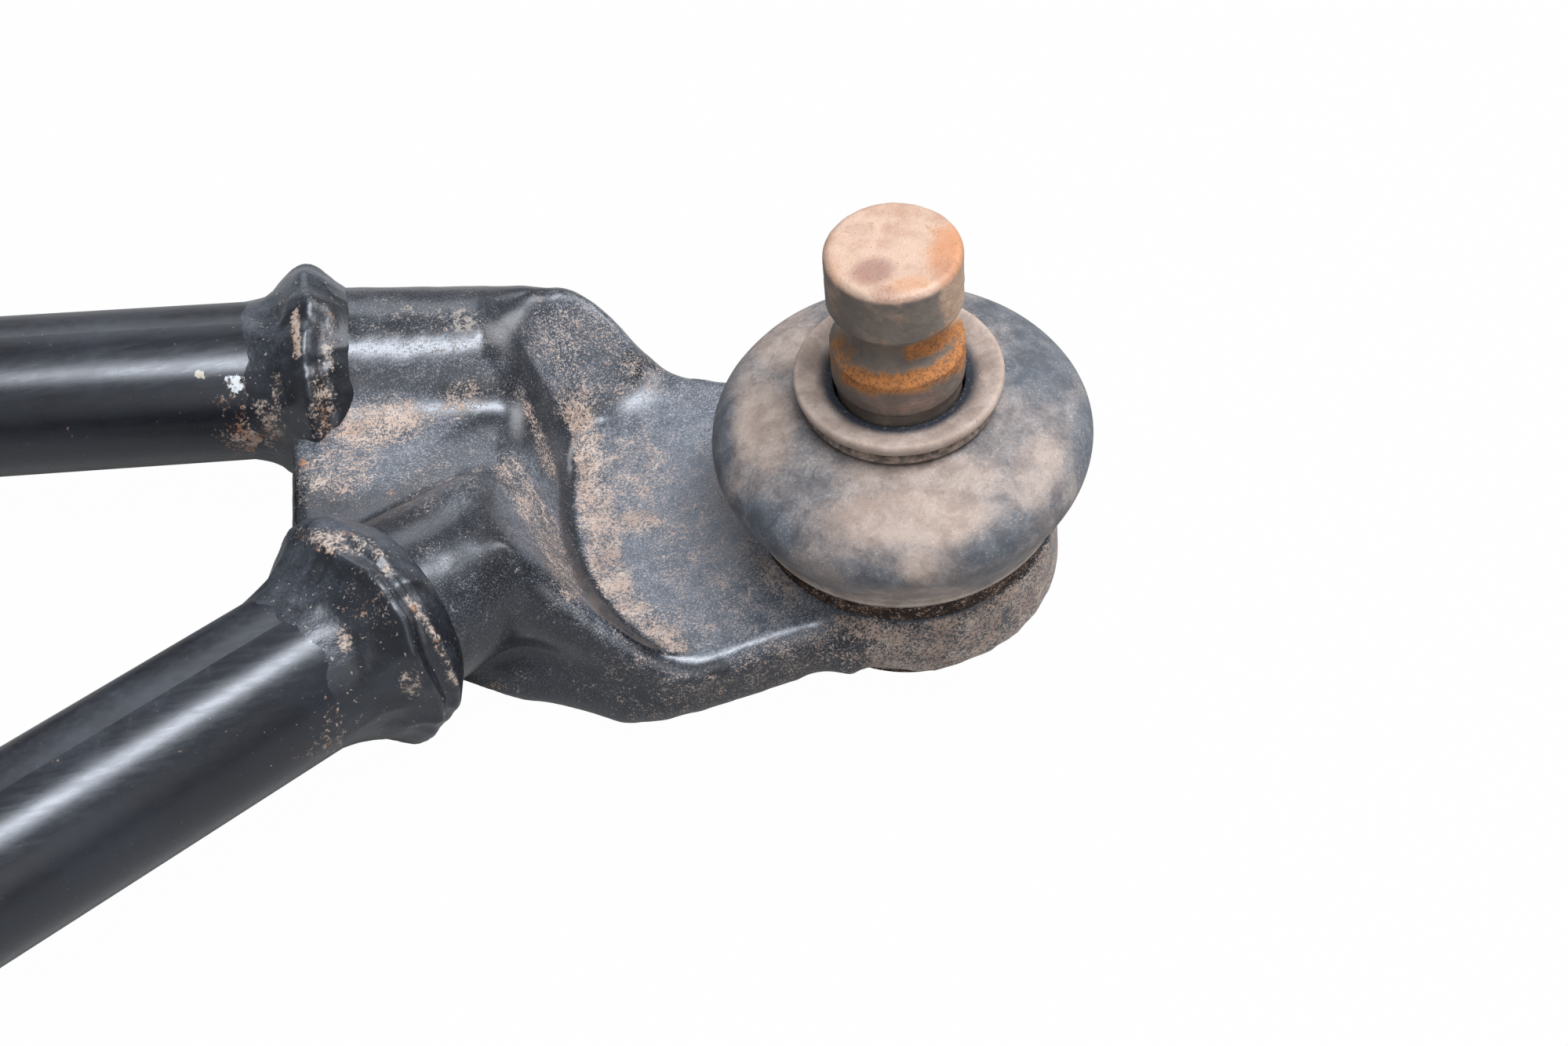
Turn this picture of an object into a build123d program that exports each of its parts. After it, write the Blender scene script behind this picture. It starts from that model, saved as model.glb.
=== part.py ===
from build123d import *
import os
from math import asin, atan2, cos, degrees, radians, sin, sqrt

# A suspension arm with its two legs level: the ball stud points up and the legs run along -X.
# The origin is on the stud's axis, at the middle height of its pinch-bolt groove.
# The ball joint leans inboard, so it and the forged knuckle are built square to the stud,
# with heights along the stud, and are then leaned into the arm's own frame.
# All sizes are in millimetres and all angles in degrees.

# Fits between pieces
press_gap = 0.0
running_gap = 0.05
soft_gap = 0.3
pilot_gap = 0.1

# Ball stud
stud_radius = 8.7
stud_top = 12.0
stud_edge_round = 1.0
groove_half_height = 3.9
groove_depth = 2.15
shank_bottom = -9.4
seal_radius = 8.2
seal_bottom = -16.0
neck_radius = 6.8
neck_taper_height = 8.0
ball_radius = 12.7
ball_centre = -42.0
ball_flat_depth = 12.0
tilt_limit = 24.0
mouth_margin = 2.5

# Race and shell of the ball joint
race_thickness = 1.7
shell_radius = 17.0
shell_flange_radius = 20.4
shell_flange_thickness = 3.8
shell_neck_radius = 16.1
shell_neck_height = 4.0
shell_rim_wall = 2.3
cap_thickness = 1.6
cap_rim_thickness = 1.5
cap_rim_width = 2.2
crimp_thickness = 1.2
snap_ring_bite = 0.8
snap_ring_width = 2.2
snap_ring_thickness = 1.4

# Rubber boot and its rings
boot_wall = 2.2
boot_dome_radius = 25.5
boot_dome_height = -21.0
boot_lip_radius = 13.7
boot_lip_thickness = 2.3
boot_lip_top = -9.7
boot_throat_radius = 10.9
boot_neck_radius = 11.3
boot_cuff_radius = 21.5
boot_cuff_height = 5.0
neck_ring_wire = 0.7

# Forged knuckle
kingpin_lean = 8.5
eye_radius = 21.3
eye_top = -36.5
eye_draft = 0.5
plate_top = -38.0
plate_bottom = -48.6
flank_height = 20.4
spigot_tip_radius = 11.3
spigot_root_radius = 12.6
pilot_length = 14.0
web_thickness = 10.0
web_above_axis = 3.2
web_inner_edge = -73.6
web_edge_slant = 3.0

# Tubes, pivots and where the two legs run
tube_radius = 11.1
tube_wall = 2.0
leg_meeting_x = 7.9
leg_meeting_y = 32.3
leg_height = -36.5
pivot_distance = 330.0
pivot_half_spacing = 104.5
rear_spigot_start = 46.0
front_spigot_start = 63.0
rear_spigot_end = 76.0
front_spigot_end = 83.5
sleeve_radius = 15.0
sleeve_length = 48.0
sleeve_bore_radius = 12.5
bush_flange_radius = 15.6
bush_flange_thickness = 3.0
bush_length = 20.0
collar_radius = 8.5
collar_bore_radius = 5.1
collar_overhang = 0.5

# Weld beads
rear_bead_place = 75.0
front_bead_place = 84.5
rear_bead_height = 5.0
front_bead_height = 5.5
rear_bead_run = 7.6
front_bead_run = 9.6
bead_outer_run = 5.5
pivot_bead_height = 3.0
pivot_bead_reach = 3.0

# Derived places
neck_angle = degrees(asin(neck_radius / ball_radius))
mouth_angle = neck_angle + tilt_limit + mouth_margin
race_radius = ball_radius + running_gap + race_thickness
shell_top = eye_top + shell_flange_thickness
shell_rim = shell_top + shell_neck_height
stud_frame = Rot(0, -kingpin_lean, 0)


def revolved(points):
    """Turn an outline of (radius, height) points about the stud's axis."""
    outline = Polyline(*[(radius, 0, height) for radius, height in points], close=True)
    return revolve(make_face(outline), Axis.Z)


def ring(inner_radius, outer_radius, bottom, top):
    outer = Cylinder(outer_radius, top - bottom, align=(Align.CENTER, Align.CENTER, Align.MIN))
    inner = Cylinder(inner_radius, top - bottom, align=(Align.CENTER, Align.CENTER, Align.MIN))
    return Pos(0, 0, bottom) * (outer - inner)


def leg_direction(side):
    """Unit vector from the point where the legs' axes meet to one pivot."""
    step = Vector(-pivot_distance - leg_meeting_x, side * pivot_half_spacing - leg_meeting_y, 0)
    return step.normalized()


def leg_point(side, distance):
    start = Vector(leg_meeting_x, leg_meeting_y, leg_height)
    return start + leg_direction(side) * distance


def leg_plane(side, distance):
    """A plane square to the leg, with its normal towards the pivot."""
    return Plane(origin=leg_point(side, distance), x_dir=(0, 0, 1), z_dir=leg_direction(side))


def leg_length(side):
    step = Vector(-pivot_distance - leg_meeting_x, side * pivot_half_spacing - leg_meeting_y, 0)
    return step.length


def pivot_plane(side, offset):
    """A plane square to the pivot's axis, offset along it from the middle of the sleeve."""
    centre = (-pivot_distance, side * pivot_half_spacing + offset, leg_height)
    return Plane(origin=centre, x_dir=(1, 0, 0), z_dir=(0, 1, 0))


def leg_rod(side, start, end, start_radius, end_radius):
    """A round bar along a leg, straight or tapered."""
    if start_radius == end_radius:
        return extrude(leg_plane(side, start) * Circle(start_radius), end - start)
    faces = [leg_plane(side, start) * Circle(start_radius), leg_plane(side, end) * Circle(end_radius)]
    return loft(faces)


def ball_stud():
    taper_bottom = seal_bottom - neck_taper_height
    ball_meet = ball_centre + ball_radius * cos(radians(neck_angle))
    flat_radius = sqrt(ball_radius**2 - ball_flat_depth**2)
    outline = Wire([
        Line((0, 0, stud_top), (stud_radius, 0, stud_top)),
        Line((stud_radius, 0, stud_top), (stud_radius, 0, groove_half_height)),
        ThreePointArc(
            (stud_radius, 0, groove_half_height),
            (stud_radius - groove_depth, 0, 0),
            (stud_radius, 0, -groove_half_height),
        ),
        Line((stud_radius, 0, -groove_half_height), (stud_radius, 0, shank_bottom)),
        Line((stud_radius, 0, shank_bottom), (seal_radius, 0, shank_bottom)),
        Line((seal_radius, 0, shank_bottom), (seal_radius, 0, seal_bottom)),
        Line((seal_radius, 0, seal_bottom), (neck_radius, 0, taper_bottom)),
        Line((neck_radius, 0, taper_bottom), (neck_radius, 0, ball_meet)),
        ThreePointArc(
            (neck_radius, 0, ball_meet),
            (ball_radius, 0, ball_centre),
            (flat_radius, 0, ball_centre - ball_flat_depth),
        ),
        Line((flat_radius, 0, ball_centre - ball_flat_depth), (0, 0, ball_centre - ball_flat_depth)),
        Line((0, 0, ball_centre - ball_flat_depth), (0, 0, stud_top)),
    ])
    stud = revolve(Face(outline), Axis.Z)
    top_edge = stud.edges().filter_by(GeomType.CIRCLE).sort_by(Axis.Z)[-1]
    return fillet(top_edge, stud_edge_round)


def sphere_zone(radius, top_angle, bottom_height):
    """Points (radius, height) where a sphere about the ball's centre meets a cone and a level."""
    top = (radius * sin(radians(top_angle)), ball_centre + radius * cos(radians(top_angle)))
    bottom = (sqrt(radius**2 - (ball_centre - bottom_height)**2), bottom_height)
    return top, bottom


def arc_between(start, end, radius):
    """An arc about the ball's centre between two (radius, height) points."""
    first = atan2(start[1] - ball_centre, start[0])
    last = atan2(end[1] - ball_centre, end[0])
    middle = (first + last) / 2
    through = (radius * cos(middle), 0, ball_centre + radius * sin(middle))
    return ThreePointArc((start[0], 0, start[1]), through, (end[0], 0, end[1]))


def segment(start, end):
    return Line((start[0], 0, start[1]), (end[0], 0, end[1]))


race_bottom = ball_centre - ball_flat_depth + 1.0
cap_rim_top = plate_bottom - snap_ring_thickness - 0.8


def ball_race():
    inner = ball_radius + running_gap
    inner_top, inner_bottom = sphere_zone(inner, mouth_angle, race_bottom)
    outer_top, outer_bottom = sphere_zone(race_radius, mouth_angle, race_bottom)
    outline = Wire([
        arc_between(inner_top, inner_bottom, inner),
        segment(inner_bottom, outer_bottom),
        arc_between(outer_bottom, outer_top, race_radius),
        segment(outer_top, inner_top),
    ])
    return revolve(Face(outline), Axis.Z)


def ball_joint_shell():
    seat = race_radius + running_gap
    mouth_top, equator = sphere_zone(seat, mouth_angle, ball_centre)
    rim_radius = shell_neck_radius - shell_rim_wall
    cap_seat = cap_rim_top - cap_rim_thickness
    crimp_bottom = cap_seat - crimp_thickness
    recess_radius = shell_radius - crimp_thickness
    ring_top = plate_bottom
    ring_bottom = plate_bottom - snap_ring_thickness
    groove_radius = shell_radius - snap_ring_bite
    body = revolved([
        (rim_radius, shell_rim),
        (shell_neck_radius, shell_rim),
        (shell_neck_radius, shell_top),
        (shell_flange_radius, shell_top),
        (shell_flange_radius, eye_top),
        (shell_radius, eye_top),
        (shell_radius, ring_top),
        (groove_radius, ring_top),
        (groove_radius, ring_bottom),
        (shell_radius, ring_bottom),
        (shell_radius, crimp_bottom),
        (recess_radius - cap_rim_width, crimp_bottom),
        (recess_radius - cap_rim_width, cap_seat),
        (recess_radius, cap_seat),
        (recess_radius, cap_rim_top),
        (seat, cap_rim_top),
        (seat, ball_centre),
        (mouth_top[0], ball_centre),
        (mouth_top[0], mouth_top[1]),
    ])
    return body - Pos(0, 0, ball_centre) * Sphere(seat)


def ball_joint_end_cap():
    seat = race_radius + running_gap
    recess_radius = shell_radius - crimp_thickness
    rim_bottom = cap_rim_top - cap_rim_thickness
    dome_outer = seat + cap_thickness
    dome = Pos(0, 0, ball_centre) * Sphere(dome_outer)
    dome -= Pos(0, 0, ball_centre) * Sphere(seat)
    below_rim = Pos(0, 0, rim_bottom) * Cylinder(
        dome_outer, dome_outer, align=(Align.CENTER, Align.CENTER, Align.MAX)
    )
    rim_inner = sqrt(dome_outer**2 - (ball_centre - rim_bottom)**2) - cap_thickness
    rim = ring(rim_inner, recess_radius, rim_bottom, cap_rim_top)
    rim -= Pos(0, 0, ball_centre) * Sphere(seat)
    return (dome & below_rim) + rim


def snap_ring():
    """An open wire ring in the shell's groove, under the eye."""
    inner = shell_radius - snap_ring_bite
    bottom = plate_bottom - snap_ring_thickness
    whole = ring(inner, inner + snap_ring_width, bottom, plate_bottom)
    gap = Pos(0, -shell_radius, bottom) * Box(5, 8, 6)
    return whole - gap


def dust_boot():
    """The rubber boot as a hollow turned form: lip, throat, mushroom dome and thick cuff."""
    throat_bottom = boot_lip_top - boot_lip_thickness
    cuff_top = shell_top + boot_cuff_height
    lip_inner = seal_radius + soft_gap
    cuff_inner = shell_neck_radius + soft_gap
    outer = Wire([
        Line((lip_inner, 0, boot_lip_top - 0.4), (boot_throat_radius, 0, boot_lip_top - 0.2)),
        Line((boot_throat_radius, 0, boot_lip_top - 0.2), (boot_lip_radius, 0, boot_lip_top)),
        Line((boot_lip_radius, 0, boot_lip_top), (boot_lip_radius, 0, throat_bottom)),
        Line((boot_lip_radius, 0, throat_bottom), (boot_neck_radius, 0, throat_bottom - 0.4)),
        Line((boot_neck_radius, 0, throat_bottom - 0.4), (boot_neck_radius, 0, throat_bottom - 2.2)),
        Spline(
            (boot_neck_radius, 0, throat_bottom - 2.2),
            (0.74 * boot_dome_radius, 0, boot_dome_height + 5.2),
            (boot_dome_radius, 0, boot_dome_height),
            (boot_cuff_radius + 1.5, 0, cuff_top),
            tangents=((1, 0, -0.12), (-0.35, 0, -1)),
        ),
        Line((boot_cuff_radius + 1.5, 0, cuff_top), (boot_cuff_radius, 0, shell_top)),
        Line((boot_cuff_radius, 0, shell_top), (cuff_inner, 0, shell_top)),
        Line((cuff_inner, 0, shell_top), (cuff_inner, 0, shell_rim + 0.4)),
        Line((cuff_inner, 0, shell_rim + 0.4), (boot_cuff_radius - 1.2, 0, shell_rim + 1.0)),
        Spline(
            (boot_cuff_radius - 1.2, 0, shell_rim + 1.0),
            (boot_dome_radius - boot_wall, 0, boot_dome_height),
            (0.7 * boot_dome_radius, 0, boot_dome_height + 5.2 - boot_wall),
            (boot_neck_radius, 0, throat_bottom - 2.2 - boot_wall),
        ),
        Line((boot_neck_radius, 0, throat_bottom - 2.2 - boot_wall), (lip_inner, 0, throat_bottom - 2.2)),
        Line((lip_inner, 0, throat_bottom - 2.2), (lip_inner, 0, boot_lip_top - 0.4)),
    ])
    return revolve(Face(outer), Axis.Z)


def boot_neck_ring():
    """A wire ring that clamps the boot's throat to the stud."""
    centre_radius = boot_neck_radius + soft_gap + neck_ring_wire
    height = boot_lip_top - boot_lip_thickness - 0.4 - neck_ring_wire
    return Pos(0, 0, height) * Torus(centre_radius, neck_ring_wire)


def horn(stations):
    """A tapering rib: round sections of stated radius along a bent path."""
    sections = []
    for index, (x, y, z, radius) in enumerate(stations):
        before = Vector(*stations[max(index - 1, 0)][:3])
        after = Vector(*stations[min(index + 1, len(stations) - 1)][:3])
        normal = (after - before).normalized()
        sections.append(Plane(origin=(x, y, z), z_dir=normal) * Circle(radius))
    return loft(sections)


def plate_outline():
    """The plate in plan, square to the stud: eye, front edge, shoulder, back edge."""
    return Wire([
        Spline(
            (0, -eye_radius), (-7.2, 0.1 - sqrt(eye_radius**2 - 7.2**2)), (-13.8, -16.7), (-24.7, -14.9),
            (-33, -14.5), (-42.0, -9.5), (-50, -3), (-58, 4.0),
        ),
        Line((-58, 4.0), (-58, 47.0)),
        Line((-58, 47.0), (-38.0, 49.2)),
        Spline((-38.0, 49.2), (-28.5, 45.8), (-22.2, 40.3), (-14.6, 34.0)),
        Line((-14.6, 34.0), (11.2, 18.1)),
        Line((11.2, 18.1), (0, -eye_radius)),
    ])


def pocket():
    """The dished hollow over the plate: the shoulder and both ribs are its flanks."""
    foot = Wire([
        Spline(
            (24, -11.5), (-12, -12.5), (-28, -12.6), (-36.5, -11.6), (-40.8, -7.5), (-43.2, -1.0), (-44.2, 9),
            (-43.0, 18), (-41.0, 25.5), (-37.5, 31.5), (-32, 34.2), (-26, 32.5), (-18, 28.0), (24, 12.0),
        ),
        Line((24, 12.0), (24, -11.5)),
    ])
    mouth = Wire([
        Spline(
            (24, -20), (-12, -20.5), (-28, -20.6), (-40, -20), (-49.0, -12), (-53.5, -4.0), (-55.4, 8),
            (-54.4, 20), (-49.3, 31.0), (-44.6, 38.5), (-41.2, 45.5), (-35, 49.6), (-26, 47.5), (24, 22),
        ),
        Line((24, 22), (24, -20)),
    ])
    floor = Pos(0, 0, plate_top) * Face(foot)
    rim = Pos(0, 0, plate_top + flank_height) * Face(mouth)
    return loft([floor, rim], ruled=True)


def upright(face, height):
    """Raise a flat face along +Z."""
    return extrude(face, height, dir=(0, 0, 1))


def flank_section(height, front_edge):
    """One level of the yoke's solid body, with its curved front edge."""
    front = Spline(*front_edge)
    outline = Wire([
        front,
        Line(front_edge[-1], (-70, 44)),
        Line((-70, 44), (-36, 44)),
        Line((-36, 44), front_edge[0]),
    ])
    return Pos(0, 0, height) * Face(outline)


def knuckle_spigots():
    """The web and the two round spigots, lying in the legs' own level."""
    web_plan = make_face(Polyline(
        (web_inner_edge - web_edge_slant, 14), (-60, -3), (-44, 2), (-38, 20), (-38, 46), (-60, 46),
        (web_inner_edge + web_edge_slant, 40), close=True
    ))
    web_bottom = leg_height + web_above_axis - web_thickness
    body = Pos(0, 0, web_bottom) * upright(web_plan, web_thickness)
    ends = ((1, rear_spigot_start, rear_spigot_end), (-1, front_spigot_start, front_spigot_end))
    for side, start, end in ends:
        body -= leg_rod(side, end, end + 60, spigot_root_radius, spigot_root_radius)
        body += leg_rod(side, start, end, spigot_tip_radius, spigot_root_radius)
        body += leg_plane(side, start) * Sphere(spigot_tip_radius)
    return body


def knuckle_forging():
    """The forging: eye, dished plate with ribs, shoulder, web and spigots in one piece."""
    plate = Pos(0, 0, plate_bottom) * upright(Face(plate_outline()), plate_top - plate_bottom)
    flank = loft([
        flank_section(plate_bottom, [
            (-30, -14.6), (-38.5, -14.1), (-46.3, -11.9), (-55.2, -4.7), (-62, 1.0), (-70, 7)
        ]),
        flank_section(plate_bottom + 0.2 * flank_height, [
            (-30, -14.4), (-38.5, -14.1), (-46.6, -12.0), (-55.6, -6.0), (-62.5, -1.5), (-70, 4)
        ]),
        flank_section(plate_bottom + 0.55 * flank_height, [
            (-30, -12.6), (-38, -12.2), (-45, -9.6), (-53.2, -3.2), (-60, 2.0), (-70, 6.5)
        ]),
        flank_section(plate_bottom + flank_height, [
            (-30, -7), (-36, -6), (-42, -3), (-49, 3.0), (-57, 8), (-70, 12)
        ]),
    ])
    rear_rib = horn([
        (-38.0, 41.0, -31.3, 11.2),
        (-34.6, 40.0, -32.2, 10.1),
        (-31.6, 39.5, -34.0, 7.7),
        (-29.0, 38.9, -36.2, 5.8),
        (-26.4, 37.8, -38.0, 4.5),
        (-22.8, 35.5, -39.5, 3.1),
    ])
    front_rib = horn([
        (-56.0, 9.5, -29.3, 11.0),
        (-50.8, 5.0, -30.8, 9.6),
        (-46.8, -0.6, -34.0, 7.4),
        (-42.6, -5.8, -37.6, 5.4),
        (-38.0, -10.0, -39.8, 4.0),
        (-31.0, -11.8, -39.9, 3.2),
        (-22.0, -12.2, -39.9, 3.0),
        (-10.0, -14.2, -40.8, 3.0),
    ])
    body = stud_frame * (plate + flank)
    underside = make_face(Polyline(
        (-45, 0, -60), (-45, 0, -55.8), (-60, 0, -52.6), (-72, 0, -48), (-82, 0, -48), (-82, 0, -60),
        close=True
    ))
    body -= extrude(Pos(0, -20, 0) * underside, 90, dir=(0, 1, 0))
    body += knuckle_spigots()
    body = stud_frame.inverse() * body
    body += rear_rib
    body += front_rib
    body -= pocket()
    eye_base = Pos(0, 0, plate_bottom) * Circle(eye_radius)
    eye_face = Pos(0, 0, eye_top) * Circle(eye_radius - eye_draft)
    eye = loft([eye_base, eye_face])
    body += eye
    body -= Pos(0, 0, ball_centre) * Cylinder(shell_radius + press_gap, 60)
    body -= Pos(-40, 20, plate_bottom) * Box(160, 160, 20, align=(Align.CENTER, Align.CENTER, Align.MAX))
    body = stud_frame * body
    pilot_radius = tube_radius - tube_wall - pilot_gap
    for side, end in ((1, rear_spigot_end), (-1, front_spigot_end)):
        body += leg_rod(side, end - 4, end + pilot_length, pilot_radius, pilot_radius)
    return body


def arm_tube(side, start):
    """One leg: a round tube from the spigot's shoulder to the pivot sleeve, saddled onto it."""
    outer = leg_rod(side, start, leg_length(side), tube_radius, tube_radius)
    bore = leg_rod(side, start - 1, leg_length(side) + 1, tube_radius - tube_wall, tube_radius - tube_wall)
    sleeve = extrude(pivot_plane(side, -sleeve_length) * Circle(sleeve_radius), 2 * sleeve_length)
    return outer - bore - sleeve


def spigot_bead(side, place, height, run):
    """The weld that closes the joint of spigot and tube: a steep crown and a long run-out."""
    low = tube_radius - 1.0
    crown = tube_radius + height
    outline = Wire([
        Line((low, 0, -bead_outer_run), (spigot_root_radius - 0.4, 0, -bead_outer_run)),
        Spline(
            (spigot_root_radius - 0.4, 0, -bead_outer_run),
            (crown - 1.0, 0, -2.2),
            (crown, 0, 0),
            (crown - 1.4, 0, 2.4),
            (crown - 2.6, 0, 0.55 * run),
            (tube_radius, 0, run),
        ),
        Line((tube_radius, 0, run), (low, 0, run)),
        Line((low, 0, run), (low, 0, -bead_outer_run)),
    ])
    return leg_plane(side, place) * revolve(Face(outline), Axis.Z)


def pivot_sleeve(side):
    half = sleeve_length / 2
    outer = extrude(pivot_plane(side, -half) * Circle(sleeve_radius), sleeve_length)
    bore = extrude(pivot_plane(side, -half) * Circle(sleeve_bore_radius), sleeve_length)
    return outer - bore


def pivot_bead(side):
    """A weld fillet round the saddle where a tube meets its pivot sleeve."""
    length = leg_length(side)
    across, along = abs(leg_direction(side).Y), abs(leg_direction(side).X)
    near = length - (sleeve_radius + tube_radius * across) / along - pivot_bead_reach
    bead = leg_rod(side, near, length, tube_radius + 0.05, tube_radius + pivot_bead_height)
    core = leg_rod(side, near - 1, length + 1, tube_radius, tube_radius)
    sleeve = extrude(pivot_plane(side, -sleeve_length) * Circle(sleeve_radius), 2 * sleeve_length)
    return bead - core - sleeve


def pivot_bush(side, end):
    """A flanged plastic bush pressed into one end of a sleeve."""
    half = sleeve_length / 2
    barrel_start = half - bush_length
    bore_radius = collar_radius + running_gap
    barrel = extrude(pivot_plane(side, 0) * Circle(sleeve_bore_radius - press_gap), bush_length)
    flange = extrude(pivot_plane(side, bush_length) * Circle(bush_flange_radius), bush_flange_thickness)
    bore = extrude(pivot_plane(side, -1) * Circle(bore_radius), bush_length + bush_flange_thickness + 2)
    bush = barrel + flange - bore
    centre = Vector(-pivot_distance, side * pivot_half_spacing, leg_height)
    bush = bush.translate(Vector(0, barrel_start, 0))
    if end < 0:
        bush = bush.mirror(Plane(origin=centre, z_dir=(0, 1, 0)))
    return bush


def pivot_collar(side):
    length = sleeve_length + 2 * bush_flange_thickness + 2 * collar_overhang
    start = pivot_plane(side, -length / 2)
    outer = extrude(start * Circle(collar_radius), length)
    bore = extrude(start * Circle(collar_bore_radius), length)
    return outer - bore


legs = (
    ("rear", 1, rear_spigot_end, rear_bead_place, rear_bead_height, rear_bead_run),
    ("front", -1, front_spigot_end, front_bead_place, front_bead_height, front_bead_run),
)
parts = {
    "knuckle_forging": knuckle_forging(),
    "ball_stud": stud_frame * ball_stud(),
    "ball_race": stud_frame * ball_race(),
    "ball_joint_shell": stud_frame * ball_joint_shell(),
    "ball_joint_end_cap": stud_frame * ball_joint_end_cap(),
    "snap_ring": stud_frame * snap_ring(),
    "dust_boot": stud_frame * dust_boot(),
    "boot_neck_ring": stud_frame * boot_neck_ring(),
}
for name, side, end, bead_place, height, run in legs:
    tube = arm_tube(side, end)
    bead = spigot_bead(side, bead_place, height, run)
    parts[name + "_tube"] = tube
    parts[name + "_spigot_weld"] = bead - tube - parts["knuckle_forging"]
    parts[name + "_pivot_sleeve"] = pivot_sleeve(side)
    parts[name + "_pivot_weld"] = pivot_bead(side)
    parts[name + "_bush_outer"] = pivot_bush(side, side)
    parts[name + "_bush_inner"] = pivot_bush(side, -side)
    parts[name + "_pivot_collar"] = pivot_collar(side)

os.makedirs("parts", exist_ok=True)
for name, solid in parts.items():
    export_step(solid, "parts/" + name + ".step")
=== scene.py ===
import bpy
import numpy as np
from math import cos, pi, radians, sin, tau
from mathutils import Matrix, Vector, noise


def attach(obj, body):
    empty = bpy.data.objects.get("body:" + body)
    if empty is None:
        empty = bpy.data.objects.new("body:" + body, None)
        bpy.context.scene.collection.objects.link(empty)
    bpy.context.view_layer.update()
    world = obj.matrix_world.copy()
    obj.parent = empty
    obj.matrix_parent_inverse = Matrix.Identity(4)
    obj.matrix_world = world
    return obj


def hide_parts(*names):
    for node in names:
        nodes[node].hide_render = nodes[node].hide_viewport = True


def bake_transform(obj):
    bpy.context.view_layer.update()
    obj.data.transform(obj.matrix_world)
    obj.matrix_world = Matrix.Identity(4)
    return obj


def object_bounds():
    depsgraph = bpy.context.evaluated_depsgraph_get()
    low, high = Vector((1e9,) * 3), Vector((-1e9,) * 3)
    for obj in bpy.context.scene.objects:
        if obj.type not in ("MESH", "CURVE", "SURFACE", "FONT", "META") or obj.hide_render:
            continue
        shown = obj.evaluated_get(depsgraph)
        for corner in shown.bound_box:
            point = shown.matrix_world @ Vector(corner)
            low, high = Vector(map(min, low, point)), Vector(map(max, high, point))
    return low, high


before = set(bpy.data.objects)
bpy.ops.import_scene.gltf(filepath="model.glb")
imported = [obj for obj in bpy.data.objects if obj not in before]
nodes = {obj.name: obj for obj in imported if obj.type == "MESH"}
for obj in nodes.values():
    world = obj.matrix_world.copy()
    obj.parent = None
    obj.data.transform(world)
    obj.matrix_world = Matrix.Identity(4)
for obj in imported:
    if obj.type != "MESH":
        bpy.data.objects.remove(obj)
cad_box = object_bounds()
MM = 0.001

# The stud leans inboard from the row frame, so turned pieces are made square to it and leaned
LEAN = radians(8.5)
LEAN_COS = cos(LEAN)
LEAN_SIN = sin(LEAN)


def leaned(points):
    """Points square to the stud, in millimetres, as points of the row frame in metres."""
    p = np.asarray(points, float)
    x = LEAN_COS * p[:, 0] - LEAN_SIN * p[:, 2]
    z = LEAN_SIN * p[:, 0] + LEAN_COS * p[:, 2]
    return np.column_stack([x, p[:, 1], z]) * MM


def from_stud(points):
    """Where points of the row frame lie: along the lean, away from the stud's axis, and up it."""
    x = LEAN_COS * points[:, 0] + LEAN_SIN * points[:, 2]
    height = -LEAN_SIN * points[:, 0] + LEAN_COS * points[:, 2]
    return x, np.hypot(x, points[:, 1]), height


# The camera, in millimetres of the row frame, with the focus in pixels of its picture

CAMERA_PLACE = np.array([-104.741, -192.303, 201.673])
AHEAD = np.array([0.28932, 0.60421, -0.74244])
RIGHT = np.array([0.92961, -0.36233, 0.06739])
UP = np.array([0.22829, 0.70968, 0.66651])
FOCUS = 3000.0
PICTURE_WIDTH, PICTURE_HEIGHT = 1999, 1333

# Marks fade out between these shares of a patch's reach, and from this share of a streak's width
PATCH_EDGE = (0.35, 1.15)
STREAK_EDGE = 0.3


def in_picture(points):
    """Where points of the row frame, in millimetres, fall in the camera's picture, in pixels."""
    away = points - CAMERA_PLACE
    depth = away @ AHEAD
    x = PICTURE_WIDTH / 2 + FOCUS * (away @ RIGHT) / depth
    y = PICTURE_HEIGHT / 2 - FOCUS * (away @ UP) / depth
    return x, y


def marked(points, patches, streaks=()):
    """Strength of soft marks at points, with places and reaches in pixels of the picture.

    A patch is (x, y, reach, reach, turn in degrees, amount) and a streak is
    (width, amount, points of a bent line).
    """
    x, y = in_picture(points)
    value = np.zeros(len(points))
    for px, py, rx, ry, turn, amount in patches:
        c, w = cos(radians(turn)), sin(radians(turn))
        away = np.hypot(((x - px) * c + (y - py) * w) / rx, ((y - py) * c - (x - px) * w) / ry)
        value = np.maximum(value, amount * (1 - ease(away, *PATCH_EDGE)))
    for width, amount, line_points in streaks:
        away = np.full(len(points), np.inf)
        for (ax, ay), (bx, by) in zip(line_points[:-1], line_points[1:]):
            dx, dy = bx - ax, by - ay
            t = np.clip(((x - ax) * dx + (y - ay) * dy) / (dx * dx + dy * dy), 0, 1)
            away = np.minimum(away, np.hypot(x - ax - t * dx, y - ay - t * dy))
        value = np.maximum(value, amount * (1 - ease(away, STREAK_EDGE * width, width)))
    return value


# Meshes

CURVE_STEPS = 40
ON_AXIS = 0.01


def new_mesh(name, points, faces, smooth=True):
    mesh = bpy.data.meshes.new(name)
    mesh.from_pydata([tuple(p) for p in points], [], [tuple(f) for f in faces])
    mesh.validate()
    if smooth:
        mesh.polygons.foreach_set("use_smooth", [True] * len(mesh.polygons))
    mesh.update()
    obj = bpy.data.objects.new(name, mesh)
    bpy.context.scene.collection.objects.link(obj)
    return obj


def fractal(point, size, octaves):
    """Smooth noise from about -1 to 1 whose largest features are size across."""
    return noise.fractal(Vector(point) / size, 1.0, 2.1, octaves, noise_basis="PERLIN_ORIGINAL")


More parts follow.
